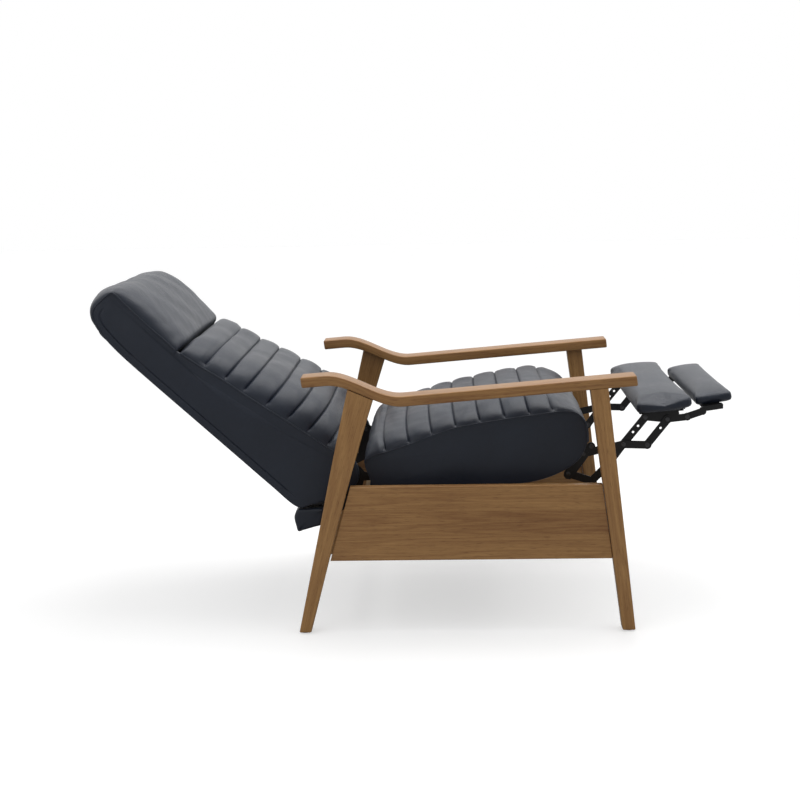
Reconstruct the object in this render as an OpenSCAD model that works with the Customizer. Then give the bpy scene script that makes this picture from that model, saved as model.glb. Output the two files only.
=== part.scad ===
/* [Wooden frame] */
// Distance between the outer faces of the two arms
overall_w = 730; // [690:5:780]
// Width of an arm seen from above
arm_w = 64; // [56:1:70]
// Thickness of an arm
arm_t = 24; // [20:1:28]
// Thickness of a leg, across the chair
leg_t = 40; // [34:1:44]
// Thickness of a side panel
panel_t = 22; // [18:1:24]
// How far a side panel sits in from the outer face of the legs
panel_recess = 6; // [2:1:10]
// Height of the lower edge of the side panels
panel_bottom = 175; // [160:1:178]
// Height of the upper edge of the side panels
panel_top = 351; // [340:1:360]
// Thickness of the two cross rails
rail_t = 22; // [18:1:24]
// Height of the plastic glides under the feet
glide_h = 3; // [2:0.5:4]

/* [Upholstery] */
// Width of the seat
seat_w = 576; // [560:1:580]
// Width of the back
back_w = 570; // [556:1:576]
// Width of the main footrest pad
pad_w = 594; // [570:1:600]
// Width of the small front footrest pad
flipper_w = 476; // [440:1:480]
// Thickness of the upholstered side boards
board_t = 22; // [18:1:24]
// Height of the crown of the seat above its side boards
crown_h = 106; // [90:1:110]

/* [Mechanism] */
// Thickness of the steel links and plates
steel_t = 3; // [2.5:0.5:3]
// Width of a link
link_w = 20; // [18:1:22]
// Radius of the rivets
rivet_r = 4; // [3.5:0.1:4.2]
// Radial clearance of a rivet in its hole
running_gap = 0.06; // [0.03:0.01:0.1]

/* [Hidden] */

wood = [0.50, 0.33, 0.19];
plywood = [0.72, 0.58, 0.40];
leather = [0.13, 0.15, 0.19];
steel = [0.05, 0.05, 0.055];
zinc = [0.62, 0.62, 0.64];
nylon = [0.12, 0.11, 0.10];

// The chair stands with the middle of its whole length over the origin
stance_x = 130;
outer_y = overall_w / 2;
facets = 48;

// The rear and front edges of the legs: [x at the floor, lean], each a straight line from the floor up
rear_leg_back = [-395, 0.2297];
rear_leg_front = [-367, 0.2847];
front_leg_back = [365, -0.138];
front_leg_front = [395, -0.1185];
function edge_x(edge, z) = edge[0] + edge[1] * z;

// Top edge of an arm: a straight rise to the front and an S curve up to the rear
arm_rear_x = -375;
arm_front_x = 393;
arm_dip_x = -141;
arm_dip_z = 564;
arm_slope = 0.0765;
arm_rise = 64;
arm_rise_len = 180;
function smooth(t) = let (c = max(0, min(1, t))) c * c * (3 - 2 * c);
function arm_top(x) =
  arm_dip_z + arm_slope * (x - arm_dip_x) + arm_rise * smooth((arm_dip_x - x) / arm_rise_len);
function arm_under(x) = arm_top(x) - arm_t;

// The legs' tops are scribed to the arm's underside, a glue line below it
glue_line = 0.1;
function leg_top(x) = arm_under(x) - glue_line;
function edge_top(edge, z = arm_dip_z, rounds = 8) =
  rounds == 0 ? z : edge_top(edge, leg_top(edge_x(edge, z)), rounds - 1);

// The seat lies tilted about a line across the chair at this height
seat_tilt = 14.5;
seat_ref_z = 400;
seat_deck = 24;

// The back lies along a line up and rearwards from its lower rear edge
back_foot = [-393, 282];
back_rise = 42.6;
back_depth = 62;
headrest_start = 460;

// Pivots of the mechanism at rest, as [x, z]
swing_foot = [78.2, 195.7];
swing_head = [44.9, 386.7];
rear_swing_foot = [-189.1, 195.9];
rear_swing_head = [-150, 364.1];
drive_tail = [93.4, 374.3];
drive_head = [299.4, 421.3];
lift_pivot = [280.2, 404.3];
idler_pivot = [245.1, 356.5];
idler_elbow = [301, 338];
idler_head = [339.8, 377.2];
cross_pivot = [375.3, 425.3];
outer_foot = [431.4, 423.3];
pad_pivot_a = [426.4, 488.8];
pad_pivot_b = [479, 483.1];
flipper_hinge = [526, 488];
back_pivot = [-262, 372];

// The mechanism's layers across the chair, counted inwards from the seat's side boards
side_in = seat_w / 2 - board_t;
layer_pitch = steel_t + 1;
function layer_y(k) = side_in - steel_t - k * layer_pitch;
plate_layer = 0;
lift_layer = 1;
link_layer = 2;
pad_layer = 3;
flipper_layer = 4;

// Holes of the pivots that are left open, wide enough for the small error of a fixed ratio
open_hole_r = rivet_r + 3.4;
pad_hole_r = rivet_r + 2.8;
near_hole_r = rivet_r + 1;

module stance() { translate([stance_x, 0, 0]) children(); }

// The far side of the chair is drawn, and the near side is its mirror image
module near_side() { mirror([0, 1, 0]) children(); }
module both_sides() {
  children();
  near_side() children();
}

// Turns an outline drawn in x and z into a slab between two distances across the chair
module slab(y_from, y_to) {
  translate([0, y_to, 0]) rotate([90, 0, 0]) linear_extrude(y_to - y_from) children();
}

module in_seat() { translate([0, 0, seat_ref_z]) rotate([0, -seat_tilt, 0]) children(); }

// x runs up the back and z runs out of its front face
module in_back() {
  translate([back_foot[0], 0, back_foot[1]])
    rotate([0, back_rise, 0]) mirror([1, 0, 0]) children();
}

module steel_layer(k) { slab(layer_y(k), layer_y(k) + steel_t) children(); }

// One straight stretch of a link: the pressed eyes at its ends are a little wider than the bar
eye_lip = 0.8;
module bar(p, q, w) {
  length = norm(q - p);
  neck = w - 2 * eye_lip;
  translate(p) rotate(atan2(q[1] - p[1], q[0] - p[0])) translate([0, -neck / 2])
    square([length, neck]);
  translate(p) circle(d = w, $fn = facets);
  translate(q) circle(d = w, $fn = facets);
}

module link(points, w = link_w) {
  for (i = [0 : len(points) - 2]) bar(points[i], points[i + 1], w);
}

module hole(p, r) { translate(p) circle(r = r, $fn = facets); }

module rivet_holes(points) {
  for (p = points) hole(p, rivet_r + running_gap);
}

// A rivet, from the inner face to the outer face that it joins
module rivet(p, y_from, y_to) {
  slab(y_from, y_to) hole(p, rivet_r);
}

// ---------- wooden frame ----------

dowel_r = 5;
dowel_clear = 0.05;
rear_dowel_x = -236;
front_dowel_x = 309;
dowel_depth = 22;
dowel_in_arm = 12;
foot_chamfer = 2;

module arm_dowel(x, r) {
  translate([x, outer_y - leg_t / 2, arm_under(x) - dowel_depth])
    cylinder(r = r, h = dowel_depth + dowel_in_arm, $fn = facets);
}

// A leg is a straight tapered board with a chamfered foot
leg_top_steps = 6;
module leg(back, front, dowel_x) {
  shoulder = glide_h + foot_chamfer;
  x_front = edge_x(front, edge_top(front));
  x_back = edge_x(back, edge_top(back));
  color(wood) difference() {
    slab(outer_y - leg_t, outer_y) polygon(concat(
      [
        [edge_x(back, shoulder), shoulder],
        [edge_x(back, glide_h) + foot_chamfer, glide_h],
        [edge_x(front, glide_h) - foot_chamfer, glide_h],
        [edge_x(front, shoulder), shoulder]
      ],
      [
        for (i = [0 : leg_top_steps])
          let (x = x_front + (x_back - x_front) * i / leg_top_steps) [x, leg_top(x)]
      ]
    ));
    arm_dowel(dowel_x, dowel_r + dowel_clear);
  }
}

// The arm is one curved board; its ends are cut square to its length
arm_steps = 44;
arm_end_lean = 3;
module arm() {
  step = (arm_front_x - arm_rear_x) / arm_steps;
  xs = [for (i = [0 : arm_steps]) arm_rear_x + i * step];
  under_xs = [for (i = [0 : arm_steps]) arm_front_x + arm_end_lean - i * step];
  color(wood) difference() {
    slab(outer_y - arm_w, outer_y) polygon(concat(
      [for (x = xs) [x, arm_top(x)]],
      [for (x = under_xs) [x, arm_under(x)]]
    ));
    arm_dowel(rear_dowel_x, dowel_r + dowel_clear);
    arm_dowel(front_dowel_x, dowel_r + dowel_clear);
  }
}

// Cross rails: [x of the rear face, lower edge, upper edge]
front_rail = [112, 178, 214];
rear_rail = [-262, 178, 232];
panel_inner_y = outer_y - panel_recess - panel_t;
peg_r = 4;
peg_in_panel = 12;
peg_in_rail = 28;
peg_inset = 12;

module rail_pegs(rail, r) {
  for (z = [rail[1] + peg_inset, rail[2] - peg_inset])
    slab(panel_inner_y - peg_in_rail, panel_inner_y + peg_in_panel)
      hole([rail[0] + rail_t / 2, z], r);
}

module side_panel() {
  color(wood) difference() {
    slab(panel_inner_y, panel_inner_y + panel_t) polygon([
      [edge_x(rear_leg_front, panel_bottom), panel_bottom],
      [edge_x(front_leg_back, panel_bottom), panel_bottom],
      [edge_x(front_leg_back, panel_top), panel_top],
      [edge_x(rear_leg_front, panel_top), panel_top]
    ]);
    rail_pegs(front_rail, peg_r + dowel_clear);
    rail_pegs(rear_rail, peg_r + dowel_clear);
  }
}

// Bolts that hold the base rails' end tabs to the cross rails
bolt_r = 3;
bolt_head_r = 6;
bolt_head_t = 4;
bolt_len = 18;
tab_w = 34;
base_low = 184;
base_high = 210;
bolt_inset = 12;
bolt_y = side_in + tab_w - bolt_inset;
bolt_z = (base_low + base_high) / 2;

module front_tab_bolt(r) {
  translate([front_rail[0] - steel_t, bolt_y, bolt_z]) rotate([0, 90, 0])
    cylinder(r = r, h = bolt_len, $fn = facets);
}
module rear_tab_bolt(r) {
  translate([rear_rail[0] + rail_t + steel_t, bolt_y, bolt_z]) rotate([0, -90, 0])
    cylinder(r = r, h = bolt_len, $fn = facets);
}

module cross_rail(rail) {
  color(plywood) difference() {
    translate([rail[0], -panel_inner_y, rail[1]])
      cube([rail_t, 2 * panel_inner_y, rail[2] - rail[1]]);
    both_sides() {
      rail_pegs(rail, peg_r + dowel_clear);
      front_tab_bolt(bolt_r);
      rear_tab_bolt(bolt_r);
    }
  }
}

module base_rail() {
  x0 = rear_rail[0] + rail_t;
  x1 = front_rail[0];
  color(steel) difference() {
    union() {
      translate([x0, side_in - steel_t, base_low]) cube([x1 - x0, steel_t, base_high - base_low]);
      for (x = [x0, x1 - steel_t])
        translate([x, side_in - steel_t, base_low])
          cube([steel_t, tab_w, base_high - base_low]);
    }
    slab(side_in - 2 * steel_t, side_in + steel_t) {
      hole(swing_foot, rivet_r);
      hole(rear_swing_foot, rivet_r);
    }
    front_tab_bolt(bolt_r);
    rear_tab_bolt(bolt_r);
  }
}

module base_bolts() {
  color(zinc) stance() both_sides() {
    front_tab_bolt(bolt_r);
    rear_tab_bolt(bolt_r);
    translate([front_rail[0] - steel_t, bolt_y, bolt_z]) rotate([0, -90, 0])
      cylinder(r = bolt_head_r, h = bolt_head_t, $fn = 6);
    translate([rear_rail[0] + rail_t + steel_t, bolt_y, bolt_z]) rotate([0, 90, 0])
      cylinder(r = bolt_head_r, h = bolt_head_t, $fn = 6);
  }
}

module wood_dowels() {
  color(plywood) stance() both_sides() {
    arm_dowel(rear_dowel_x, dowel_r);
    arm_dowel(front_dowel_x, dowel_r);
    rail_pegs(front_rail, peg_r);
    rail_pegs(rear_rail, peg_r);
  }
}

glide_r = 11;
foot_xs = [(rear_leg_back[0] + rear_leg_front[0]) / 2, (front_leg_back[0] + front_leg_front[0]) / 2];
module foot_glides() {
  color(nylon) stance() both_sides() for (x = foot_xs)
    translate([x, outer_y - leg_t / 2, 0]) cylinder(r = glide_r, h = glide_h, $fn = facets);
}

module right_rear_leg() { stance() near_side() leg(rear_leg_back, rear_leg_front, rear_dowel_x); }
module left_rear_leg() { stance() leg(rear_leg_back, rear_leg_front, rear_dowel_x); }
module right_front_leg() {
  stance() near_side() leg(front_leg_back, front_leg_front, front_dowel_x);
}
module left_front_leg() { stance() leg(front_leg_back, front_leg_front, front_dowel_x); }
module right_side_panel() { stance() near_side() side_panel(); }
module left_side_panel() { stance() side_panel(); }
module right_arm() { stance() near_side() arm(); }
module left_arm() { stance() arm(); }
module front_cross_rail() { stance() cross_rail(front_rail); }
module rear_cross_rail() { stance() cross_rail(rear_rail); }
module right_base_rail() { stance() near_side() base_rail(); }
module left_base_rail() { stance() base_rail(); }

module base_rivets() {
  color(zinc) stance() both_sides() for (p = [swing_foot, rear_swing_foot])
    rivet(p, layer_y(lift_layer), layer_y(plate_layer) + steel_t);
}

// ---------- swing links ----------

swing_w = 24;
tube_r = 9;
tube_wall = 1.5;
tube_at = 0.3;
tube_pos = swing_foot + (swing_head - swing_foot) * tube_at;

// The front swing link has a short arm that pulls on the footrest's drive link
module swing_link() {
  color(steel) steel_layer(lift_layer) difference() {
    union() {
      bar(swing_foot, swing_head, swing_w);
      bar(swing_head, drive_tail, swing_w);
      bar(swing_foot, drive_tail, swing_w);
    }
    rivet_holes([swing_foot, swing_head]);
    hole(drive_tail, rivet_r);
  }
}

module right_swing_link() { stance() near_side() swing_link(); }
module left_swing_link() { stance() swing_link(); }

module swing_tube() {
  half = layer_y(lift_layer);
  color(steel) stance() slab(-half, half) difference() {
    hole(tube_pos, tube_r);
    hole(tube_pos, tube_r - tube_wall);
  }
}

module swing_rivets() {
  color(zinc) stance() both_sides()
    rivet(drive_tail, layer_y(link_layer), layer_y(lift_layer) + steel_t);
}

module rear_swing_links() {
  color(steel) stance() both_sides() steel_layer(lift_layer) difference() {
    bar(rear_swing_foot, rear_swing_head, swing_w);
    rivet_holes([rear_swing_foot]);
    hole(rear_swing_head, open_hole_r);
  }
}

// ---------- seat ----------

// Outline of an upholstered side board, along and square to the seat
seat_side_outline = [
  [-228, seat_deck], [-228, -20], [100, -92], [170, -98], [220, -91], [258, -75],
  [281, -52], [294, -22], [299, 4], [298, seat_deck]
];

module seat_side() {
  color(leather) in_seat() slab(side_in, side_in + board_t) polygon(seat_side_outline);
}
module right_seat_side() { stance() near_side() seat_side(); }
module left_seat_side() { stance() seat_side(); }

// The cushion is the seat's long section cut by its crowned cross section
crown_edge = 56;
crown_top = seat_deck + crown_h;
module seat_cushion() {
  half = seat_w / 2;
  color(leather) stance() in_seat() intersection() {
    slab(-half, half) polygon([
      [-226, seat_deck], [-200, 106], [-188, 117], [-150, 124], [-52, crown_top], [67, crown_top],
      [150, crown_top - 2], [205, crown_top - 11], [245, crown_top - 31], [279, 68], [298, 34],
      [298, seat_deck]
    ]);
    translate([-240, 0, 0]) rotate([90, 0, 90]) linear_extrude(560) polygon([
      [-half, 0], [half, 0], [half, seat_deck + crown_edge], [half - 16, crown_top - 28],
      [half - 48, crown_top - 12], [half - 128, crown_top - 3], [half - 200, crown_top + 1],
      [200 - half, crown_top + 1], [128 - half, crown_top - 3], [48 - half, crown_top - 12],
      [16 - half, crown_top - 28], [-half, seat_deck + crown_edge]
    ]);
  }
}

rail_gap = 0.1;
front_rail_u = 205;
front_rail_low = -36;
module seat_front_rail() {
  color(plywood) stance() in_seat() translate([front_rail_u, -side_in, front_rail_low])
    cube([board_t, 2 * side_in, seat_deck - front_rail_low]);
}

rear_rail_u = -205;
rear_rail_low = -14;
module seat_rear_rail() {
  half = layer_y(plate_layer) - rail_gap;
  color(plywood) stance() in_seat() translate([rear_rail_u, -half, rear_rail_low])
    cube([board_t, 2 * half, seat_deck - rear_rail_low]);
}

// The padded roll under the seat's front edge stops short of the footrest links
roll_clear = 8;
module seat_front_roll() {
  half = layer_y(flipper_layer) - roll_clear;
  u0 = front_rail_u + board_t;
  color(leather) stance() in_seat() slab(-half, half) polygon([
    [u0, seat_deck], [u0, -84], [245, -84], [263, -72], [281, -52], [294, -22], [299, 4],
    [298, seat_deck]
  ]);
}

// A sinuous spring: a strip whose middle line is a sine wave
spring_count = 5;
spring_gauge = 3.6;
wave_amp = 16;
wave_count = 11;
wave_steps = 8;
spring_drop = 2;
module sinuous_spring(length) {
  n = wave_count * wave_steps;
  function wave(i) = wave_amp * sin(360 * i / wave_steps);
  linear_extrude(spring_gauge) polygon(concat(
    [for (i = [0 : n]) [length * i / n, wave(i) + spring_gauge]],
    [for (i = [n : -1 : 0]) [length * i / n, wave(i) - spring_gauge]]
  ));
}

module seat_springs() {
  u0 = rear_rail_u + board_t;
  gap = 2 * side_in / (spring_count + 1);
  color(zinc) stance() in_seat() for (i = [1 : spring_count])
    translate([u0, i * gap - side_in, seat_deck - spring_gauge - spring_drop])
      sinuous_spring(front_rail_u - u0);
}

// Steel side plate: it carries the swing heads, the footrest pivots, the back and the tail
seat_plate_outline = [
  [-352, 256], [-346, 275], [-284, 305], [-276, 378], [-268, 386], [-256, 386], [-248, 380],
  [-237, 367], [-215, 366], [-150, 378.5], [45, 401], [276, 419], [288, 416], [294, 406], [291, 396], [256, 348],
  [249, 343], [239, 345], [234, 353], [237, 363], [254, 388], [46, 373], [-149, 350],
  [-240, 346], [-254, 294], [-340, 250]
];
module seat_plate() {
  color(steel) steel_layer(plate_layer) difference() {
    polygon(seat_plate_outline);
    for (p = [swing_head, rear_swing_head, lift_pivot, idler_pivot, back_pivot]) hole(p, rivet_r);
  }
}
module right_seat_plate() { stance() near_side() seat_plate(); }
module left_seat_plate() { stance() seat_plate(); }

module seat_rivets() {
  color(zinc) stance() both_sides()
    for (p = [swing_head, rear_swing_head, lift_pivot, idler_pivot, back_pivot])
      rivet(p, layer_y(lift_layer), layer_y(plate_layer) + steel_t);
}

// The padded bar behind and below the back, slotted on to the side plates
tail_half = 280;
slot_clear = 0.1;
slot_corner = [-372, 240];
slot_size = 50;
module seat_tail() {
  color(leather) stance() difference() {
    slab(-tail_half, tail_half) polygon([
      [-398, 281], [-408, 259], [-399, 225], [-344, 241], [-336, 262], [-338, 283]
    ]);
    both_sides() slab(layer_y(plate_layer) - slot_clear, side_in + slot_clear)
      translate(slot_corner) square(slot_size);
  }
}

// ---------- back ----------

board_in = back_w / 2 - board_t - 1;
module back_side() {
  color(leather) in_back() slab(board_in, back_w / 2) polygon([
    [6, 0], [645, 0], [645, back_depth], [-30, back_depth]
  ]);
}
module right_back_side() { stance() near_side() back_side(); }
module left_back_side() { stance() back_side(); }

// Cross rails of the back: the lower one is shorter, to clear the brackets
back_rail_n = 2;
back_rail_h = 50;
module back_rail(s, half) {
  color(plywood) stance() in_back() translate([s, -half, back_rail_n])
    cube([board_t, 2 * half, back_rail_h]);
}
top_rail_s = 600;
bottom_rail_s = 30;
bracket_clear = 6;
module back_top_rail() { back_rail(top_rail_s, board_in); }
module back_bottom_rail() { back_rail(bottom_rail_s, layer_y(lift_layer) - bracket_clear); }

module back_springs() {
  s0 = bottom_rail_s + board_t;
  gap = 2 * board_in / (spring_count + 1);
  color(zinc) stance() in_back() for (i = [1 : spring_count])
    translate([s0, i * gap - board_in, back_rail_h - spring_gauge])
      sinuous_spring(top_rail_s - s0);
}

panel_board_t = 7;
module outside_back() {
  color(leather) stance() in_back() slab(1 - board_in, board_in - 1)
    polygon([[16, -panel_board_t], [610, -panel_board_t], [625, -1], [16, -1]]);
}

// The cushion is a full-width wedge with a narrower crown on it
crown_inset = 45;
module back_cushion() {
  top = headrest_start - 1;
  color(leather) stance() in_back() union() {
    slab(-back_w / 2, back_w / 2) polygon([
      [top, back_depth], [top, 118], [333, 137], [220, 152], [107, 170], [51, 178], [8, 160],
      [-14, 110], [-24, 70], [-26, back_depth]
    ]);
    slab(crown_inset - back_w / 2, back_w / 2 - crown_inset) polygon([
      [top, back_depth], [top, 148], [406, 168], [349, 180], [238, 208], [153, 228], [105, 232],
      [60, 220], [14, 198], [-10, 178], [-14, 110], [-24, 70], [-26, back_depth]
    ]);
  }
}

module headrest() {
  s = headrest_start;
  color(leather) stance() in_back() slab(-back_w / 2, back_w / 2) polygon([
    [s, back_depth + 1], [s, 140], [516, 151], [585, 153], [628, 146], [662, 129], [690, 102],
    [708, 76], [712, 46], [700, 20], [678, 4], [647, 0], [647, back_depth + 1]
  ]);
}

// Bracket from the back's hinge to its side board
back_bracket_w = 20;
back_bracket_route = [back_pivot, [-305, 300], [-360, 296], [-445, 362]];
module back_bracket() {
  color(steel) steel_layer(lift_layer) difference() {
    link(back_bracket_route, back_bracket_w);
    rivet_holes([back_pivot]);
  }
}
module right_back_bracket() { stance() near_side() back_bracket(); }
module left_back_bracket() { stance() back_bracket(); }

// ---------- footrest linkage ----------

module lift_link() {
  color(steel) steel_layer(lift_layer) difference() {
    union() {
      link([lift_pivot, cross_pivot, outer_foot]);
      bar(lift_pivot, drive_head, link_w);
    }
    rivet_holes([lift_pivot]);
    for (p = [cross_pivot, outer_foot, drive_head]) hole(p, rivet_r);
  }
}
module right_lift_link() { stance() near_side() lift_link(); }
module left_lift_link() { stance() lift_link(); }

module lift_rivets() {
  color(zinc) stance() both_sides() for (p = [cross_pivot, outer_foot, drive_head])
    rivet(p, layer_y(link_layer), layer_y(lift_layer) + steel_t);
}

module idler_links() {
  color(steel) stance() both_sides() steel_layer(lift_layer) difference() {
    link([idler_pivot, idler_elbow, idler_head]);
    rivet_holes([idler_pivot]);
    hole(idler_head, near_hole_r);
  }
}

// Spare holes punched in the links, as shares of the way from pivot to pivot
light_hole_r = 3;
upper_holes_at = [0.45, 0.68];
outer_hole_at = 0.66;

module upper_link() {
  color(steel) steel_layer(link_layer) difference() {
    link([idler_head, cross_pivot, pad_pivot_a]);
    rivet_holes([cross_pivot]);
    for (p = [idler_head, pad_pivot_a]) hole(p, rivet_r);
    for (t = upper_holes_at) hole(cross_pivot + (pad_pivot_a - cross_pivot) * t, light_hole_r);
  }
}
module right_upper_link() { stance() near_side() upper_link(); }
module left_upper_link() { stance() upper_link(); }

module upper_rivets() {
  color(zinc) stance() both_sides() {
    rivet(idler_head, layer_y(link_layer), layer_y(lift_layer) + steel_t);
    rivet(pad_pivot_a, layer_y(pad_layer), layer_y(link_layer) + steel_t);
  }
}

module outer_links() {
  color(steel) stance() both_sides() steel_layer(link_layer) difference() {
    bar(outer_foot, pad_pivot_b, link_w);
    rivet_holes([outer_foot]);
    hole(pad_pivot_b, pad_hole_r);
    hole(outer_foot + (pad_pivot_b - outer_foot) * outer_hole_at, light_hole_r);
  }
}

drive_w = 16;
module drive_links() {
  color(steel) stance() both_sides() steel_layer(link_layer) difference() {
    bar(drive_tail, drive_head, drive_w);
    rivet_holes([drive_head]);
    hole(drive_tail, near_hole_r);
  }
}

// ---------- footrest ----------

pad_face = [467, 530];
pad_tilt = 4.4;
pad_half = 66;
pad_thick = 24;
pad_crown = 11;
module in_pad() {
  translate([pad_face[0], 0, pad_face[1]]) rotate([0, -pad_tilt, 0]) children();
}

module footrest_cushion() {
  color(leather) stance() in_pad() slab(-pad_w / 2, pad_w / 2) polygon([
    [-pad_half + 6, -pad_thick], [pad_half - 4, -pad_thick], [pad_half, -pad_thick + 6],
    [pad_half + 1, -6], [pad_half - 8, 2], [30, pad_crown - 2], [0, pad_crown],
    [-30, pad_crown - 2], [-pad_half + 8, 2], [-pad_half, -8]
  ]);
}

pad_board_half = 52;
pad_board_t = 12;
flange_in = 26;
flange_gap = 0.2;
bracket_w = 18;
module footrest_board() {
  half = layer_y(pad_layer) - flange_in;
  color(plywood) stance() in_pad()
    translate([-pad_board_half, -half, -pad_thick - pad_board_t])
      cube([2 * pad_board_half, 2 * half, pad_board_t]);
}

// Where the bracket's web meets its flange, along the flange's underside
web_rear = [424.4, 500.6];
web_front = [505, 506];
module footrest_bracket() {
  y0 = layer_y(pad_layer);
  color(steel) difference() {
    union() {
      steel_layer(pad_layer) {
        link([pad_pivot_a, pad_pivot_b, flipper_hinge], bracket_w);
        polygon([
          [pad_pivot_a[0] - 6, pad_pivot_a[1]], [pad_pivot_b[0] + 30, pad_pivot_b[1]],
          web_front, web_rear
        ]);
      }
      in_pad() translate([-pad_board_half, y0 - flange_in + flange_gap, -pad_thick - steel_t])
        cube([2 * pad_board_half, flange_in - flange_gap + steel_t, steel_t]);
    }
    slab(y0 - 1, y0 + steel_t + 1) {
      rivet_holes([pad_pivot_a]);
      for (p = [pad_pivot_b, flipper_hinge]) hole(p, rivet_r);
    }
  }
}
module right_footrest_bracket() { stance() near_side() footrest_bracket(); }
module left_footrest_bracket() { stance() footrest_bracket(); }

module footrest_rivets() {
  color(zinc) stance() both_sides() {
    rivet(pad_pivot_b, layer_y(pad_layer), layer_y(link_layer) + steel_t);
    rivet(flipper_hinge, layer_y(flipper_layer), layer_y(pad_layer) + steel_t);
  }
}

flipper_rear = 548;
flipper_front = 634;

// The underside of the flipper pad, which its board and brackets follow
function flipper_under(x) = 510 + 0.1406 * (x - 560);
module under_flipper(x0, x1, top, bottom) {
  polygon([
    [x0, flipper_under(x0) - bottom], [x1, flipper_under(x1) - bottom],
    [x1, flipper_under(x1) - top], [x0, flipper_under(x0) - top]
  ]);
}

module flipper_cushion() {
  color(leather) stance() slab(-flipper_w / 2, flipper_w / 2) polygon([
    [flipper_rear + 4, 512], [flipper_rear + 12, flipper_under(flipper_rear + 12)],
    [624, flipper_under(624)], [flipper_front - 2, 526], [flipper_front, 532], [626, 540],
    [604, 544], [574, 543], [flipper_rear + 6, 537], [flipper_rear, 528]
  ]);
}

flipper_board_in = 24;
module flipper_board() {
  half = flipper_w / 2 - flipper_board_in;
  color(plywood) stance() slab(-half, half) under_flipper(566, 608, 0.2, 8);
}

flipper_flange = 22;
module flipper_brackets() {
  y0 = layer_y(flipper_layer);
  color(steel) stance() both_sides() difference() {
    union() {
      steel_layer(flipper_layer) {
        link([flipper_hinge, [562, 500]], bracket_w);
        under_flipper(556, 610, 0.5, 11);
      }
      slab(y0 - flipper_flange, y0 + steel_t) under_flipper(564, 610, 0.5, 0.5 + steel_t);
    }
    slab(y0 - 1, y0 + steel_t + 1) rivet_holes([flipper_hinge]);
  }
}

right_rear_leg();
left_rear_leg();
right_front_leg();
left_front_leg();
right_side_panel();
left_side_panel();
right_arm();
left_arm();
front_cross_rail();
rear_cross_rail();
right_base_rail();
left_base_rail();
base_bolts();
wood_dowels();
foot_glides();
base_rivets();
right_swing_link();
left_swing_link();
swing_tube();
swing_rivets();
rear_swing_links();
seat_cushion();
right_seat_side();
left_seat_side();
seat_front_rail();
seat_rear_rail();
seat_front_roll();
seat_springs();
right_seat_plate();
left_seat_plate();
seat_tail();
seat_rivets();
back_cushion();
headrest();
right_back_side();
left_back_side();
back_top_rail();
back_bottom_rail();
back_springs();
outside_back();
right_back_bracket();
left_back_bracket();
right_lift_link();
left_lift_link();
lift_rivets();
idler_links();
right_upper_link();
left_upper_link();
upper_rivets();
outer_links();
drive_links();
footrest_cushion();
footrest_board();
right_footrest_bracket();
left_footrest_bracket();
footrest_rivets();
flipper_cushion();
flipper_board();
flipper_brackets();
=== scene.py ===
import math

import bmesh
import bpy
import numpy as np
from mathutils import Matrix


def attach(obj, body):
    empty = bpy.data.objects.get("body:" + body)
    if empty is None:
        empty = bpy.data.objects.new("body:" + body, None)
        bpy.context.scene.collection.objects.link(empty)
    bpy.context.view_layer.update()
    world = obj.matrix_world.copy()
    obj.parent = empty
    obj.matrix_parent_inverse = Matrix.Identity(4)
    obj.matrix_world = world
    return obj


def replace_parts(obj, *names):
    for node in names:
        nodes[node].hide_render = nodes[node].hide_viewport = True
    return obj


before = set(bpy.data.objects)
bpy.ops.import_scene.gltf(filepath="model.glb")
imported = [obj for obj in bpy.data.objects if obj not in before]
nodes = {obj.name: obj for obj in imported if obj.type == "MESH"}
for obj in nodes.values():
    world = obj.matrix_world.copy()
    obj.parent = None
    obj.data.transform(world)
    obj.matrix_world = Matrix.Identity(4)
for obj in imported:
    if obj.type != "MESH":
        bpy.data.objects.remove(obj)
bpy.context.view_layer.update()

# ---------------------------------------------------------------------------------------------
# The room. A pale floor under a white surround that is brightest above and behind, with a wide
# soft lamp overhead. The camera stands a little above arm height and looks across the chair.

STAND_X = 130.0  # millimetres from the frame's origin to the middle of the feet
MM = 0.001


def from_chair(points):
    """Points in millimetres from the middle of the feet, as metres in the shared frame."""
    return (np.asarray(points, float) + [STAND_X, 0, 0]) * MM


def aim(yaw, pitch, roll):
    """Columns right, up and backwards of a camera that looks along +Y, turned right by yaw, down by pitch."""
    forward = np.array([math.sin(yaw) * math.cos(pitch), math.cos(yaw) * math.cos(pitch), -math.sin(pitch)])
    right = np.array([math.cos(yaw), -math.sin(yaw), 0.0])
    up = np.cross(right, forward)
    tilted = math.cos(roll) * right + math.sin(roll) * up
    upright = math.cos(roll) * up - math.sin(roll) * right
    return np.stack([tilted, upright, -forward], 1)


camera_lens = bpy.data.cameras.new("camera")
camera_lens.lens = 67.5
camera_lens.sensor_width = 36.0
camera = bpy.data.objects.new("camera", camera_lens)
bpy.context.scene.collection.objects.link(camera)
camera_place = np.eye(4)
camera_place[:3, :3] = aim(-0.0332268, 0.1665416, -0.0189858)
camera_place[:3, 3] = from_chair([-34.3, -3749.7, 1125.4])
camera.matrix_world = Matrix(camera_place.tolist())
bpy.context.scene.camera = camera


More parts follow.
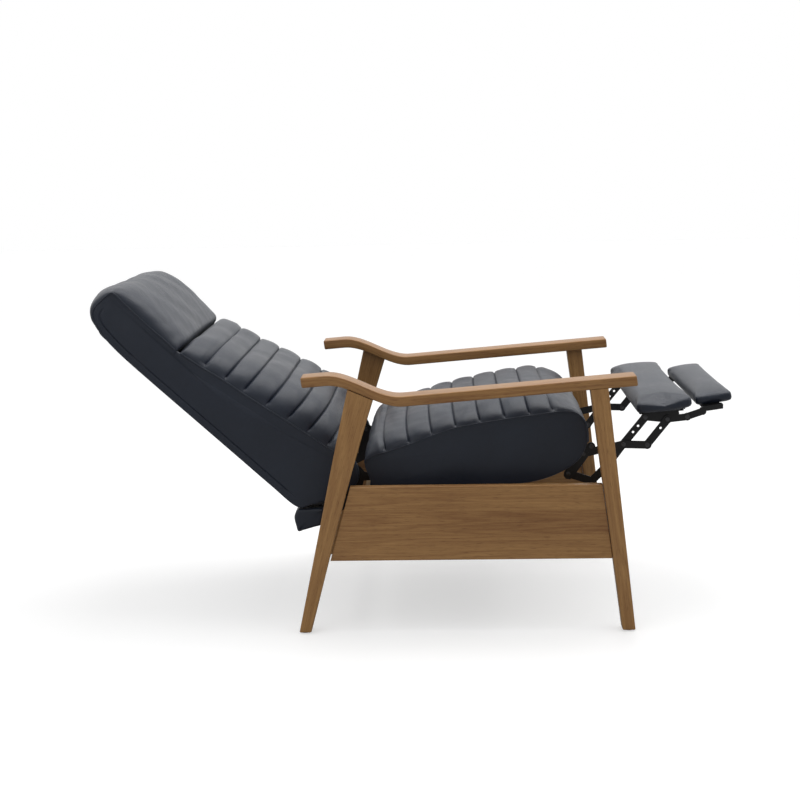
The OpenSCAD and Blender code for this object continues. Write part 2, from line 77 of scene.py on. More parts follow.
class Wire:
    """An output socket of a material. Arithmetic on it adds Math nodes; node() adds any other node."""

    def __init__(self, tree, socket=None):
        self.tree = tree
        self.socket = socket

    def node(self, kind, settings=None, sockets=None, out=0):
        """Adds a node: its settings first, then its sockets' values or links. Gives the output named."""
        made = self.tree.nodes.new("ShaderNode" + kind)
        for name, value in (settings or {}).items():
            setattr(made, name, value)
        for name, value in (sockets or {}).items():
            if isinstance(value, Wire):
                self.tree.links.new(value.socket, made.inputs[name])
            else:
                made.inputs[name].default_value = value
        return Wire(self.tree, made.outputs[out])

    def math(self, operation, *values):
        return self.node("Math", {"operation": operation}, dict(enumerate(values)))

    def __add__(self, other):
        return self.math("ADD", self, other)

    def __sub__(self, other):
        return self.math("SUBTRACT", self, other)

    def __rsub__(self, other):
        return self.math("SUBTRACT", other, self)

    def __mul__(self, other):
        return self.math("MULTIPLY", self, other)

    __radd__ = __add__
    __rmul__ = __mul__

    def between(self, low, high):
        """0 below low, 1 above high and a smooth step between."""
        return self.node("MapRange", {"interpolation_type": "SMOOTHSTEP"},
                         {"Value": self, "From Min": low, "From Max": high})

    def mix(self, first, second):
        """The first colour where this is 0, the second where it is 1."""
        return self.node("Mix", {"data_type": "RGBA"}, {0: self, 6: first, 7: second}, out=2)

    def stretched(self, factors):
        """This vector times the factors, one for each axis."""
        return self.node("VectorMath", {"operation": "MULTIPLY"}, {0: self, 1: factors})

    def noise(self, scale, detail=3.0, roughness=0.55):
        """Clouds from 0 to 1 over this vector."""
        return self.node("TexNoise", {}, {"Vector": self, "Scale": scale, "Detail": detail,
                                          "Roughness": roughness})


def new_finish(name, constants):
    """A material, its Principled shader with those constants set, and a Wire to draw its nodes with."""
    made = bpy.data.materials.new(name)
    made.use_nodes = True
    shader = made.node_tree.nodes["Principled BSDF"]
    for socket, value in constants.items():
        shader.inputs[socket].default_value = value
    return made, shader, Wire(made.node_tree)


def feed(shader, **wires):
    """Links each Wire to the shader's socket of that name, with _ for a space."""
    for name, wire in wires.items():
        wire.tree.links.new(wire.socket, shader.inputs[name.replace("_", " ")])


def raised(height, depth, strength=1.0):
    """The normal of a surface raised by height times depth, in metres."""
    return height.node("Bump", {}, {"Height": height, "Distance": depth, "Strength": strength})


# The floor looks near white and takes a soft shadow, but throws less light up at the chair than white would
FLOOR_BOUNCE = (0.38, 0.38, 0.38, 1)
floor_paint, floor_shader, draw = new_finish("floor_paint", {"Roughness": 0.6, "Specular IOR Level": 0.2,
                                                             "Emission Strength": 0.52})
scuff = draw.node("TexCoord", out="Object").noise(1.5, 4.0)
scuffed = scuff.mix((0.50, 0.50, 0.50, 1), (0.53, 0.53, 0.53, 1))
seen = draw.node("LightPath", out="Is Camera Ray")
feed(floor_shader, Base_Color=seen.mix(FLOOR_BOUNCE, scuffed),
     Emission_Color=seen.mix((0, 0, 0, 1), (1, 1, 1, 1)))
FLOOR_REACH = 14.0
floor_mesh = bpy.data.meshes.new("floor")
floor_mesh.from_pydata([(-FLOOR_REACH, -FLOOR_REACH, 0), (FLOOR_REACH, -FLOOR_REACH, 0),
                        (FLOOR_REACH, FLOOR_REACH, 0), (-FLOOR_REACH, FLOOR_REACH, 0)], [], [(0, 1, 2, 3)])
floor_mesh.materials.append(floor_paint)
floor = bpy.data.objects.new("floor", floor_mesh)
bpy.context.scene.collection.objects.link(floor)

# The surround is seen as plain white. As light it runs from dim at the front to bright above and behind
DIM, BRIGHT = 0.19, 1.03
surround = bpy.data.worlds.new("surround")
surround.use_nodes = True
backdrop = surround.node_tree.nodes["Background"]
backdrop.inputs["Color"].default_value = (1.0, 1.0, 1.0, 1)
draw = Wire(surround.node_tree)
toward = draw.node("TexCoord", out="Generated")
upwards = toward.node("SeparateXYZ", {}, {0: toward}, out="Z")
behind = toward.node("SeparateXYZ", {}, {0: toward}, out="Y")
glow = (upwards * 0.9 + behind * 0.45).between(-0.5, 1.0) * (BRIGHT - DIM) + DIM
seen = draw.node("LightPath", out="Is Camera Ray")
strength = seen * (1.0 - glow) + glow
surround.node_tree.links.new(strength.socket, backdrop.inputs["Strength"])
bpy.context.scene.world = surround
bpy.context.scene.view_settings.view_transform = "Standard"


def lamp(name, place, target, size, power):
    """A square soft lamp at a place, turned to the target."""
    light = bpy.data.lights.new(name, "AREA")
    light.size = size
    light.energy = power
    made = bpy.data.objects.new(name, light)
    bpy.context.scene.collection.objects.link(made)
    ray = np.asarray(target, float) - np.asarray(place, float)
    ray /= np.linalg.norm(ray)
    side = np.cross(ray, [0, 1, 0.001])
    side /= np.linalg.norm(side)
    turned = np.eye(4)
    turned[:3, :3] = np.stack([side, np.cross(side, ray), -ray], 1)
    turned[:3, 3] = place
    made.matrix_world = Matrix(turned.tolist())


lamp("overhead", (0.6, 0.4, 3.2), (0.0, 0.0, 0.4), 2.6, 55.0)
lamp("window", (-1.8, -3.0, 1.9), (0.0, 0.0, 0.5), 2.2, 14.0)

# ---------------------------------------------------------------------------------------------
# The wooden frame: four tapered legs, two arms that sweep up at the rear, and two side panels
# glued up from staves. Stained oak under a satin lacquer, with every edge eased by hand.

OAK_DARK = (0.190, 0.076, 0.024, 1)
OAK_LIGHT = (0.485, 0.272, 0.100, 1)
OAK_PORE = (0.090, 0.032, 0.010, 1)
oak, oak_shader, draw = new_finish("stained_oak", {"Specular IOR Level": 0.4})
grain = draw.node("Attribute", {"attribute_name": "grain"}, out="Vector")
figure = grain.stretched((1.3, 20.0, 20.0)).noise(1.0, 2.0, 0.5)
rings = (figure * 11.0).math("PINGPONG", figure * 11.0, 0.5) * 2.0
fibres = grain.stretched((7.0, 430.0, 430.0)).noise(1.0, 5.0, 0.65)
pores = grain.stretched((38.0, 1100.0, 1100.0)).noise(1.0, 2.0, 0.5).between(0.56, 0.70)
patches = grain.stretched((2.2, 9.0, 9.0)).noise(1.0, 2.0)
stain = draw.node("Attribute", {"attribute_name": "stain"}, out="Fac")
tone = rings * 0.24 + fibres * 0.84 + patches * 0.45 - 0.36 + stain
board_tone = tone.mix(OAK_DARK, OAK_LIGHT)
feed(oak_shader, Base_Color=(pores * 0.55).mix(board_tone, OAK_PORE),
     Roughness=0.33 + fibres * 0.10 + pores * 0.12,
     Normal=raised(fibres * 0.35 - pores, 0.00022, 0.6))


def rounded_section(half_a, half_b, radius, per_corner=5):
    """Points round a rectangle with rounded corners: each arc stands at (±(half_a - r), ±(half_b - r)) and
    adds r (cos, sin). The halves and the radius may be columns, one row for each section."""
    corner = np.arange(4 * per_corner) // per_corner
    angle = (corner + (np.arange(4 * per_corner) % per_corner) / (per_corner - 1)) * math.pi / 2
    sign_a = np.where((corner == 0) | (corner == 3), 1, -1)
    sign_b = np.where(corner < 2, 1, -1)
    return (sign_a * (half_a - radius) + radius * np.cos(angle),
            sign_b * (half_b - radius) + radius * np.sin(angle))


def eased_stations(length, ease, count):
    """Distances along a piece and how far each section draws in: near an end, d from it,
    the draw is R - sqrt(R² - (R - d)²), a quarter circle of radius R."""
    turn = np.linspace(0, math.pi / 2, 5)
    near = ease * (1 - np.cos(turn))
    along = np.concatenate([near, np.linspace(ease, length - ease, count)[1:-1], length - near[::-1]])
    from_end = np.minimum(np.minimum(along, length - along), ease)
    return along, ease - np.sqrt(np.maximum(ease**2 - (ease - from_end)**2, 0))


def skin(name, rings, material, sharp=50.0):
    """A closed skin over rings of points in chair millimetres: quads between rings, a fan at each end."""
    count, around = rings.shape[:2]
    here = np.arange(count * around).reshape(count, around)
    beside = np.roll(here, -1, axis=1)
    quads = np.stack([here[:-1], beside[:-1], beside[1:], here[1:]], -1).reshape(-1, 4)
    fan_a = np.stack([beside[0], here[0], np.full(around, count * around)], -1)
    fan_b = np.stack([here[-1], beside[-1], np.full(around, count * around + 1)], -1)
    points = np.concatenate([rings.reshape(-1, 3), [rings[0].mean(0)], [rings[-1].mean(0)]])
    mesh = bpy.data.meshes.new(name)
    mesh.from_pydata(from_chair(points).tolist(), [], quads.tolist() + fan_a.tolist() + fan_b.tolist())
    work = bmesh.new()
    work.from_mesh(mesh)
    bmesh.ops.recalc_face_normals(work, faces=work.faces)
    work.to_mesh(mesh)
    work.free()
    mesh.polygons.foreach_set("use_smooth", np.ones(len(mesh.polygons), bool))
    mesh.set_sharp_from_angle(angle=math.radians(sharp))
    mesh.materials.append(material)
    made = bpy.data.objects.new(name, mesh)
    bpy.context.scene.collection.objects.link(made)
    return made


def set_grain(piece, along, across, deep, seed, stain):
    """Writes into the piece which way the wood's fibres run, in metres, shifted so that no two pieces match,
    and how much lighter its stain took."""
    values = np.stack([along, across, deep], -1) * MM + np.array([1.7, 0.9, 0.4]) * seed
    values = np.concatenate([values.reshape(-1, 3), [values[0].mean(0)], [values[-1].mean(0)]])
    attribute = piece.data.attributes.new("grain", "FLOAT_VECTOR", "POINT")
    attribute.data.foreach_set("vector", values.ravel().astype(np.float32))
    shade = stain + 0.0 * along
    shade = np.concatenate([shade.ravel(), [shade[0].mean(), shade[-1].mean()]])
    attribute = piece.data.attributes.new("stain", "FLOAT", "POINT")
    attribute.data.foreach_set("value", shade.astype(np.float32))


OUTER_Y = 365.0  # outer face of the arms and legs
ARM_W = 64.0
ARM_T = 24.0
ARM_REAR, ARM_FRONT = -375.0, 393.0
ARM_DIP = (-141.0, 564.0)  # where the straight part of the arm's top starts to sweep up
ARM_LEAN = 3.0
LEG_T = 40.0
LEG_RISE = 552.0
GLIDE_H = 3.0
WOOD_EASE = 3.2
FOOT_EASE = 2.4
LEG_STAIN, ARM_STAIN = 0.24, 0.04  # how much lighter than the darkest board


def arm_top(x):
    """Height of an arm's top: a straight rise to the front, and a smooth step up towards the rear."""
    rise = np.clip((ARM_DIP[0] - x) / 180.0, 0, 1)
    return ARM_DIP[1] + 0.0765 * (x - ARM_DIP[0]) + 64.0 * rise**2 * (3 - 2 * rise)


def leg(name, side, back, front, seed):
    """A leg's sections are level, between a back and a front edge that lean. Its top follows the arm's
    underside, and only its foot is eased."""
    along, draw_in = eased_stations(LEG_RISE, FOOT_EASE, 44)
    share = (along / LEG_RISE)[:, None]
    level = GLIDE_H + share * LEG_RISE
    half = (front[0] + front[1] * level - back[0] - back[1] * level) / 2
    middle = (front[0] + front[1] * level + back[0] + back[1] * level) / 2
    drawn = draw_in[:, None] * (share < 0.5)
    a, b = rounded_section(half - drawn, LEG_T / 2 - drawn, WOOD_EASE)
    x = middle + a
    z = GLIDE_H + share * (arm_top(x) - ARM_T - GLIDE_H)
    rings = np.stack([x, side * (OUTER_Y - LEG_T / 2 + b), z], -1)
    piece = skin(f"{name}_wood", rings, oak)
    set_grain(piece, z, a, b, seed, LEG_STAIN)
    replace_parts(piece, name)
    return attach(piece, "chair_frame")


def arm(name, side, seed):
    """An arm is one curved board: its section is carried along the sweep, level across and upright."""
    along, draw_in = eased_stations(ARM_FRONT - ARM_REAR, WOOD_EASE, 90)
    drawn = draw_in[:, None]
    across, upright = rounded_section(ARM_W / 2 - drawn, ARM_T / 2 - drawn, WOOD_EASE)
    x = ARM_REAR + along[:, None] + ARM_LEAN * (0.5 - upright / ARM_T)
    top = arm_top(ARM_REAR + along[:, None])
    rings = np.stack([x, side * (OUTER_Y - ARM_W / 2 + across), top - ARM_T / 2 + upright], -1)
    piece = skin(f"{name}_wood", rings, oak)
    set_grain(piece, x + 0 * across, across + 0 * x, upright + 0 * x, seed, ARM_STAIN)
    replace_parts(piece, name)
    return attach(piece, "chair_frame")


REAR_BACK, REAR_FRONT = (-395.0, 0.2297), (-367.0, 0.2847)
FRONT_BACK, FRONT_FRONT = (365.0, -0.138), (395.0, -0.1185)
PANEL_LOW, PANEL_HIGH = 175.0, 351.0
PANEL_T = 22.0
PANEL_IN = 6.0
PANEL_EASE = 1.6
STAVE_STAIN = np.array([0.12, 0.04, 0.15])


def panel(name, side, seed):
    """A panel's sections are level boards between the two legs; each stave takes its own stretch of grain."""
    height = PANEL_HIGH - PANEL_LOW
    along, draw_in = eased_stations(height, PANEL_EASE, 60)
    level = PANEL_LOW + along[:, None]
    rear = REAR_FRONT[0] + REAR_FRONT[1] * level
    fore = FRONT_BACK[0] + FRONT_BACK[1] * level
    drawn = draw_in[:, None]
    a, b = rounded_section((fore - rear) / 2, PANEL_T / 2 - drawn, PANEL_EASE)
    middle_y = OUTER_Y - PANEL_IN - PANEL_T / 2
    rings = np.stack([(fore + rear) / 2 + a, side * (middle_y + b), level + 0 * a], -1)
    piece = skin(f"{name}_wood", rings, oak)
    stave = np.floor(along[:, None] / (height / len(STAVE_STAIN) + 0.01))
    set_grain(piece, rings[..., 0] + 900 * stave, rings[..., 2] + 300 * stave, b, seed,
              STAVE_STAIN[stave.astype(int)])
    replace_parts(piece, name)
    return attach(piece, "chair_frame")


for seed, (hand, side) in enumerate((("right", -1), ("left", 1))):
    leg(f"{hand}_rear_leg", side, REAR_BACK, REAR_FRONT, 1 + 5 * seed)
    leg(f"{hand}_front_leg", side, FRONT_BACK, FRONT_FRONT, 2 + 5 * seed)
    arm(f"{hand}_arm", side, 3 + 5 * seed)
    panel(f"{hand}_side_panel", side, 4 + 5 * seed)

# ---------------------------------------------------------------------------------------------
# What the frame holds inside: two cross rails of birch plywood, their dowels, the nylon glides
# under the feet and the steel base rails that the mechanism swings on, bolted to the cross rails.

plywood, plywood_shader, draw = new_finish("birch_plywood", {"Roughness": 0.62})
place = draw.node("TexCoord", out="Object")
veneer = place.stretched((6.0, 6.0, 260.0)).noise(1.0, 3.0)
plies = place.node("TexWave", {"bands_direction": "Z"},
                   {"Vector": place, "Scale": 110.0, "Distortion": 1.2, "Detail": 2.0}, out="Fac")
plywood_tone = (veneer * 0.7 + plies * 0.3).mix((0.36, 0.23, 0.12, 1), (0.60, 0.45, 0.28, 1))
feed(plywood_shader, Base_Color=plywood_tone, Roughness=0.5 + veneer * 0.25,
     Normal=raised(veneer, 0.0003, 0.4))

zinc, zinc_shader, draw = new_finish("zinc_plate", {"Metallic": 1.0})
place = draw.node("TexCoord", out="Object")
spangle = place.noise(240.0, 3.0)
feed(zinc_shader, Base_Color=spangle.mix((0.42, 0.42, 0.43, 1), (0.66, 0.66, 0.67, 1)),
     Roughness=0.24 + spangle * 0.28, Normal=raised(spangle, 0.00008, 0.5))

nylon, nylon_shader, draw = new_finish("nylon", {"Roughness": 0.5})
rub = draw.node("TexCoord", out="Object").noise(300.0, 2.0)
feed(nylon_shader, Base_Color=rub.mix((0.020, 0.019, 0.018, 1), (0.045, 0.043, 0.040, 1)),
     Roughness=0.38 + rub * 0.3)

black_steel, steel_shader, draw = new_finish("black_steel", {"Metallic": 0.15, "Specular IOR Level": 0.5})
place = draw.node("TexCoord", out="Object")
paint = place.noise(420.0, 3.0)
rubbed = place.noise(38.0, 4.0, 0.7).between(0.66, 0.80)
feed(steel_shader, Base_Color=(rubbed * 0.6).mix((0.009, 0.009, 0.010, 1), (0.055, 0.054, 0.052, 1)),
     Roughness=0.34 + paint * 0.16 - rubbed * 0.08, Normal=raised(paint, 0.00006, 0.6))


def painted(material, *names):
    """Gives CAD nodes a finish."""
    for name in names:
        nodes[name].data.materials.clear()
        nodes[name].data.materials.append(material)


painted(plywood, "front_cross_rail", "rear_cross_rail", "wood_dowels")
painted(nylon, "foot_glides")
painted(zinc, "base_bolts")
painted(black_steel, "right_base_rail", "left_base_rail")

# ---------------------------------------------------------------------------------------------
# The mechanism: flat pressed links of black painted steel in layers a washer apart, with a tube
# that ties the two front swing links together. The shapes are the CAD's own.

painted(black_steel, "right_swing_link", "left_swing_link", "swing_tube", "rear_swing_links",
        "right_seat_plate", "left_seat_plate", "right_back_bracket", "left_back_bracket",
        "right_lift_link", "left_lift_link", "idler_links", "right_upper_link", "left_upper_link",
        "outer_links", "drive_links", "right_footrest_bracket", "left_footrest_bracket",
        "flipper_brackets")

# ---------------------------------------------------------------------------------------------
# The rivets: black zinc plate, each with a low domed head on both ends, set cold so that the links
# still turn. Every set of rivets belongs to the body that holds it.

black_zinc, rivet_shader, draw = new_finish("black_zinc_plate", {"Metallic": 1.0})
spangle = draw.node("TexCoord", out="Object").noise(240.0, 3.0)
feed(rivet_shader, Base_Color=spangle.mix((0.045, 0.045, 0.048, 1), (0.130, 0.130, 0.135, 1)),
     Roughness=0.28 + spangle * 0.24, Normal=raised(spangle, 0.00008, 0.5))

SIDE_IN = 266.0  # inner face of the seat's side boards
LAYER = 4.0
STEEL_T = 3.0
SWING_FOOT, SWING_HEAD = (78.2, 195.7), (44.9, 386.7)
REAR_SWING_FOOT, REAR_SWING_HEAD = (-189.1, 195.9), (-150.0, 364.1)
DRIVE_TAIL, DRIVE_HEAD = (93.4, 374.3), (299.4, 421.3)
LIFT_PIVOT, IDLER_PIVOT, IDLER_HEAD = (280.2, 404.3), (245.1, 356.5), (339.8, 377.2)
CROSS_PIVOT, OUTER_FOOT = (375.3, 425.3), (431.4, 423.3)
PAD_PIVOT_A, PAD_PIVOT_B, FLIPPER_HINGE = (426.4, 488.8), (479.0, 483.1), (526.0, 488.0)
BACK_PIVOT = (-262.0, 372.0)


def layer_y(layer):
    """Inner face of a layer of the mechanism, counted inwards from the side boards."""
    return SIDE_IN - STEEL_T - layer * LAYER


def rivets(name, body, pins):
    """Rivets as turned shapes: the profile (reach along the pin, radius) goes once round each pin.
    A head is a low dome, h cos(a) high where its radius is R sin(a). A pin is (pivot, inner, outer layer)."""
    shank, head, dome = 4.0, 5.6, 0.8
    bow = np.linspace(0.12, math.pi / 2, 6)
    around = np.linspace(0, 2 * math.pi, 25)[:-1]
    parts = []
    for (x, z), inner, outer in pins:
        low, high = layer_y(inner), layer_y(outer) + STEEL_T
        reach = np.concatenate([low - dome * np.cos(bow), [low, high], high + dome * np.cos(bow[::-1])])
        radius = np.concatenate([head * np.sin(bow), [shank, shank], head * np.sin(bow[::-1])])
        for side in (-1, 1):
            rings = np.stack([x + radius[:, None] * np.cos(around), side * (reach[:, None] + 0 * around),
                              z + radius[:, None] * np.sin(around)], -1)
            parts.append(skin(f"{name}_part", rings, black_zinc, 30.0))
    piece = merged(f"{name}_set", parts)
    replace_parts(piece, name)
    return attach(piece, body)


def merged(name, parts):
    """Several pieces made one mesh."""
    work = bmesh.new()
    for part in parts:
        work.from_mesh(part.data)
    mesh = parts[0].data
    work.to_mesh(mesh)
    work.free()
    for part in parts[1:]:
        bpy.data.objects.remove(part)
    parts[0].name = name
    return parts[0]


rivets("base_rivets", "chair_frame", [(SWING_FOOT, 1, 0), (REAR_SWING_FOOT, 1, 0)])
rivets("swing_rivets", "front_swing", [(DRIVE_TAIL, 2, 1)])
rivets("seat_rivets", "seat", [(p, 1, 0) for p in (SWING_HEAD, REAR_SWING_HEAD, LIFT_PIVOT, IDLER_PIVOT,
                                                    BACK_PIVOT)])
rivets("lift_rivets", "lift", [(CROSS_PIVOT, 2, 1), (OUTER_FOOT, 2, 1), (DRIVE_HEAD, 2, 1)])
rivets("upper_rivets", "upper", [(IDLER_HEAD, 2, 1), (PAD_PIVOT_A, 3, 2)])
rivets("footrest_rivets", "footrest", [(PAD_PIVOT_B, 3, 2), (FLIPPER_HINGE, 4, 3)])

# ---------------------------------------------------------------------------------------------
# The seat: plywood rails and sinuous springs under a thick foam cushion. Its leather cover is
# sewn in channels across the chair, and runs over the front edge between plain side panels.

painted(plywood, "seat_front_rail", "seat_rear_rail", "back_top_rail", "back_bottom_rail")
painted(zinc, "seat_springs", "back_springs")

LEATHER_DEEP = (0.006, 0.010, 0.021, 1)
LEATHER_WORN = (0.016, 0.025, 0.046, 1)
leather, leather_shader, draw = new_finish("slate_leather", {"Specular IOR Level": 0.48, "Sheen Weight": 0.06,
                                                             "Sheen Roughness": 0.4})
place = draw.node("TexCoord", out="Object")
pebble = place.node("TexVoronoi", {"feature": "DISTANCE_TO_EDGE"}, {"Vector": place, "Scale": 560.0},
                    out="Distance")
fine = place.noise(1500.0, 3.0)
cloud = place.noise(9.0, 4.0, 0.6)
creases = place.noise(70.0, 5.0, 0.7)
hide_tone = (cloud * 0.75 + creases * 0.35 - 0.12).mix(LEATHER_DEEP, LEATHER_WORN)
grain_depth = pebble.between(0.0, 0.16)
feed(leather_shader, Base_Color=(grain_depth * 0.4 + 0.6).mix((0.003, 0.005, 0.010, 1), hide_tone),
     Roughness=0.23 + creases * 0.10 + cloud * 0.16 - grain_depth * 0.04,
     Normal=raised(grain_depth * 0.7 + fine * 0.15 + creases * 1.1 + cloud * 5.0, 0.00035, 0.6))

SEAT_TILT = math.radians(14.5)
SEAT_Z = 400.0


def in_seat(u, y, w):
    """Seat distances (along to the front, across, up) as chair millimetres: turned by the seat's tilt."""
    return np.stack(np.broadcast_arrays(u * math.cos(SEAT_TILT) - w * math.sin(SEAT_TILT), y,
                                        SEAT_Z + u * math.sin(SEAT_TILT) + w * math.cos(SEAT_TILT)), -1)


def through(knots, at):
    """A smooth line through the knots: on each stretch the four nearest are weighted by cubics in the share
    t, a Catmull-Rom spline. at counts knots, with parts of one for places between them."""
    knots = np.asarray(knots, float)
    held = np.concatenate([[2 * knots[0] - knots[1]], knots, [2 * knots[-1] - knots[-2]]])
    first = np.clip(np.floor(at).astype(int), 0, len(knots) - 2)
    t = (at - first)[:, None]
    p, q, r, s = held[first], held[first + 1], held[first + 2], held[first + 3]
    return 0.5 * (2 * q + (r - p) * t + (2 * p - 5 * q + 4 * r - s) * t**2 + (3 * q - p - 3 * r + s) * t**3)


def drawn_to_knots(count, fine_from, fine_to, fine_steps, steps):
    """Places along knots 0 to count - 1. Between fine_from and fine_to the steps crowd towards each knot,
    as t - 0.11 sin(2 pi t), so that a sewn line there is crisp."""
    places = []
    for k in range(count - 1):
        crowded = fine_from <= k < fine_to
        t = np.arange(fine_steps if crowded else steps) / (fine_steps if crowded else steps)
        places.append(k + (t - 0.11 * np.sin(2 * math.pi * t) if crowded else t))
    return np.concatenate(places + [[count - 1.0]])


def shoulder(count, half, rise, power=2.0):
    """A crowned cross section from seam to seam, evenly spaced: across is half sin(a)^(1/power), and the
    height share is cos(a). Gives across, height share and distance from the nearer seam."""
    a = np.linspace(-math.pi / 2, math.pi / 2, 4001)
    across = half * np.sign(a) * np.abs(np.sin(a))**(1 / power)
    height = np.cos(a)
    run = np.concatenate([[0], np.cumsum(np.hypot(np.diff(across), rise * np.diff(height)))])
    even = np.linspace(0, run[-1], count)
    return np.interp(even, run, across), np.interp(even, run, height), np.minimum(even, run[-1] - even)


def ripple(points, size, seed):
    """A slow unevenness from -1 to 1 or so: five sine waves of about that length, each in its own way."""
    rng = np.random.default_rng(seed)
    total = 0
    for wave in range(5):
        direction = rng.normal(size=3)
        direction *= 2 * math.pi / (size * rng.uniform(0.7, 1.5) * np.linalg.norm(direction))
        total = total + np.sin(points @ direction + rng.uniform(0, 2 * math.pi)) / 2.2
    return total


def surface_normals(grid):
    """Unit normals of a grid of points, from the cross product of its two directions."""
    along, across = np.gradient(grid, axis=0), np.gradient(grid, axis=1)
    normal = np.cross(across, along)
    return normal / np.maximum(np.linalg.norm(normal, axis=-1, keepdims=True), 1e-9)


def cover(name, place_in, seam, crown, half, core, depth, channels, steps, fade, pillow, groove, seed, power):
    """A leather cover over foam. At each place along it the top goes from seam to seam through the crown:
    point = seam + (crown - seam) height share. Sewn channels sink it by pillow (1 - sin^0.6) + groove
    exp(-d²), less near the seams, where they end in scallops. channels gives the first and last sewn line and
    their pitch, and fade where the sinking starts and is full. The underside lies depth inside the seam."""
    first, last, pitch = channels
    at = drawn_to_knots(len(seam), first, last, *steps)
    low, high = through(seam, at), through(crown, at)
    across, share, from_seam = shoulder(120, half, 60.0, power)
    flat = low[:, None, :] + (high - low)[:, None, :] * share[:, None]
    top = place_in(flat[..., 0], across[None, :], flat[..., 1])
    normal = surface_normals(top)
    normal *= np.sign((normal * (top - place_in(core[0], 0.0, core[1]))).sum())
    top = top + normal * (1.1 * ripple(top, 130.0, seed) + 0.45 * ripple(top, 46.0, seed + 1))[..., None] \
        * np.clip(from_seam / 30, 0, 1)[None, :, None]
    t = np.clip(at, first, last) - np.floor(np.clip(at, first, last))
    inside = (at >= first) & (at <= last)
    to_line = np.minimum(t, 1 - t) * pitch
    bulge = np.abs(np.sin(math.pi * t))**0.6
    ends = np.where(inside, 1.0, np.clip(1 - np.minimum(np.abs(at - first), np.abs(at - last)) * 2.2, 0, 1))
    sunk = pillow * (1 - bulge) * ends + groove * np.exp(-(to_line / 2.2)**2) * inside
    scallop = np.clip((from_seam[None, :] - fade[0] - 3.0 * (1 - bulge[:, None])) / (fade[1] - fade[0]), 0, 1)
    top = top - normal * (sunk[:, None] * scallop**2 * (3 - 2 * scallop))[..., None]
    toward = np.asarray(core, float) - low
    inner = low + toward / np.linalg.norm(toward, axis=1, keepdims=True) * depth
    back_across = np.linspace(half - 3, 3 - half, 26)
    under = place_in(inner[:, :1], back_across[None, :], inner[:, 1:])
    rings = np.concatenate([top, under], axis=1)
    return skin(name, rings, leather, 65.0)


# Places of the seat's side seam and of its crown, at the same counts along the seat
SEAT_HALF = 287.0
seat_seam = [(-229, 26), (-231, 45), (-222, 60), (-200, 64), (-174, 64.5), (-116, 68), (-58, 74), (1, 77.5),
             (59, 73), (117, 67), (175, 60), (230, 53), (262, 47), (281, 37), (292, 21), (297, 3), (295, -18),
             (291, -36)]
seat_crown = [(-229, 26), (-227, 60), (-217, 88), (-198, 107), (-174, 113), (-116, 119), (-58, 122),
              (1, 123), (59, 122), (117, 120), (175, 115), (228, 101), (258, 81), (279, 60), (292, 36),
              (299, 10), (298, -14), (293, -37)]
seat_cover = cover("seat_cover", in_seat, seat_seam, seat_crown, SEAT_HALF, core=(40, -240), depth=15,
                   channels=(4, 11, 57.5), steps=(26, 9), fade=(0.0, 6), pillow=5.4, groove=2.8, seed=11,
                   power=1.85)
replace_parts(seat_cover, "seat_cushion")
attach(seat_cover, "seat")


BOXING_EDGE, BOXING_BULGE = 3.6, 4.0
SEWN_WIDTH, SEWN_DEPTH = 1.7, 2.4


def padded_board(name, place_in, outline, y_low, y_high, edge, bulge, side, seed, count=150, sewn=None):
    """A padded panel. Its outline is a closed smooth line; the edge rolls in by R (1 - cos a) while it rises
    to R sin a, and the outer face swells by bulge (1 - r²) towards the middle. sewn is a seam's inset from
    the outline and a mask of where it runs; closer rings follow the outline there, to carry the groove."""
    knots = np.asarray(outline, float)
    ring = through(np.concatenate([knots[-2:], knots, knots[:3]]),
                   2 + np.arange(count) / count * len(knots))
    tangent = np.roll(ring, -1, axis=0) - np.roll(ring, 1, axis=0)
    inward = np.stack([-tangent[:, 1], tangent[:, 0]], -1) / np.linalg.norm(tangent, axis=1)[:, None]
    middle = ring.mean(0)
    if ((middle - ring) * inward).sum() < 0:
        inward = -inward
    turn = np.linspace(0, math.pi / 2, 7)
    shrink = np.linspace(1, 0.02, 22)[1:]
    band = np.arange(edge + 1.3, 24.0, 1.3) if sewn is not None else np.array([])
    rise = 0.3 if sewn is not None else 0.0  # the share of the swelling that lies in the band
    rolled = ring + inward * (band[-1] if sewn is not None else edge)

    def face(y_edge, direction, swelling):
        """Rings from the edge's widest line in to the middle of one face."""
        rolling = [(ring + inward * (edge * (1 - math.cos(a))), y_edge + direction * edge * math.sin(a))
                   for a in turn]
        rolling += [(ring + inward * d, y_edge + direction * (edge + rise * swelling * d / band[-1]))
                    for d in band]
        rolling += [(middle + (rolled - middle) * r,
                     y_edge + direction * (edge + swelling * (1 - (1 - rise) * r**2))) for r in shrink]
        return np.stack([place_in(points[:, 0], side * y, points[:, 1]) for points, y in rolling])

    outer = face(y_high - edge - bulge, 1, bulge)
    inner = face(y_low + edge, -1, 0.0)
    rows = np.concatenate([outer[::-1], inner])
    outside = len(outer)
    rows[:outside - 4, :, 1] += side * 0.7 * ripple(rows[:outside - 4], 110.0, seed)
    if sewn is not None:
        inset, mask = sewn
        outline_at = place_in(ring[:, 0], side * y_high, ring[:, 1])
        distance = np.linalg.norm(rows[:outside] - outline_at, axis=-1)
        line = np.exp(-((distance - inset) / SEWN_WIDTH)**2) * mask(ring)[None, :]
        rows[:outside, :, 1] -= side * SEWN_DEPTH * line
    return skin(name, rows, leather, 65.0)


WELT_R = 1.5


